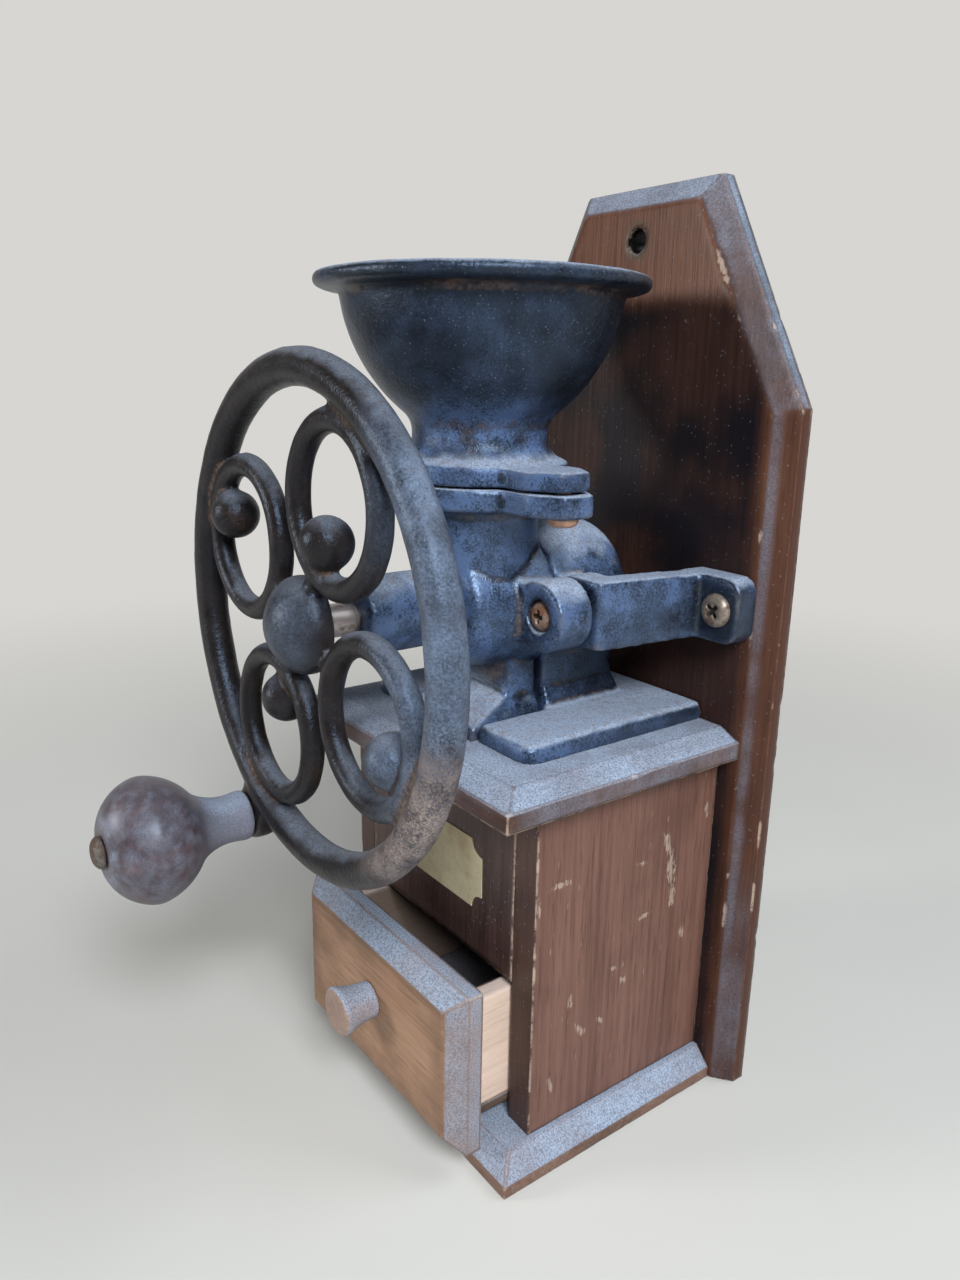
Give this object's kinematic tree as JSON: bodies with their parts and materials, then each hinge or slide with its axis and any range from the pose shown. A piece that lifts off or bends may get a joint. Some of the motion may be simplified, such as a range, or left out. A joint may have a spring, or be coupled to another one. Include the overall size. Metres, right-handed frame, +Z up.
{
  "type": "hand crank coffee grinder",
  "caption": "Box coffee mill on a tall back board: open iron hopper over a burr housing, spoked hand wheel with a turning knob, and a drawer below for the ground coffee.",
  "frame": {"origin": "middle of the base board's underside, on the surface the mill stands on", "axes": "+Z up, -Y to the front where the drawer and the hand wheel are, +Y to the wall behind the back board, +X to the right seen from the front"},
  "size_m": [0.133, 0.1643, 0.264],
  "materials": {
    "stained_wood": "dark red-brown stain, worn at the edges, dusty",
    "drawer_front_wood": "orange-brown stain, worn",
    "raw_wood": "bare pale wood",
    "sheet_wood": "bare thin sheet wood",
    "turned_wood": "dark varnish, glossy",
    "cast_iron": "black paint over sand casting, dusty with rust spots",
    "wheel_iron": "worn black paint, browned",
    "screw_steel": "dull and rusty",
    "copper_screw": "dull copper colour",
    "bare_steel": "bare turned metal, slightly rusty",
    "label_paper": "aged cream paper, bare"
  },
  "bodies": {
    "case": {"back_board": "stained_wood", "base_board": "stained_wood", "top_board": "stained_wood", "left_side_panel": "stained_wood", "right_side_panel": "stained_wood", "front_panel": "stained_wood", "drawer_runners": "raw_wood", "paper_label": "label_paper", "board_screws": "screw_steel", "hopper": "cast_iron", "hopper_screws": "copper_screw", "front_housing": "cast_iron", "rear_housing": "cast_iron", "housing_screws": "screw_steel", "bracket_screws": "screw_steel", "plate_screws": "screw_steel", "ring_burr": "bare_steel"},
    "drawer": {"drawer_front": "drawer_front_wood", "drawer_left_side": "raw_wood", "drawer_right_side": "raw_wood", "drawer_back": "raw_wood", "drawer_bottom": "sheet_wood", "drawer_knob": "drawer_front_wood", "drawer_knob_screw": "screw_steel"},
    "crank": {"hand_wheel": "wheel_iron", "crank_shaft": "bare_steel", "shaft_collar": "bare_steel", "cone_burr": "bare_steel", "burr_pin": "bare_steel", "thrust_washer": "bare_steel", "knob_bolt": "screw_steel", "knob_nut": "screw_steel"},
    "knob": {"crank_knob": "turned_wood"}
  },
  "joints": [
    {"name": "crank_turn", "type": "hinge", "parent": "case", "child": "crank", "pos_m": [0, -0.0675, 0.1507], "axis": [0, 1, 0], "continuous": true},
    {"name": "knob_spin", "type": "hinge", "parent": "crank", "child": "knob", "pos_m": [-0.03588, -0.0875, 0.08598], "axis": [0, 1, 0], "continuous": true},
    {"name": "drawer_slide", "type": "slide", "parent": "case", "child": "drawer", "axis": [0, -1, 0], "range_m": [-0.0135, 0.0415]}
  ]
}
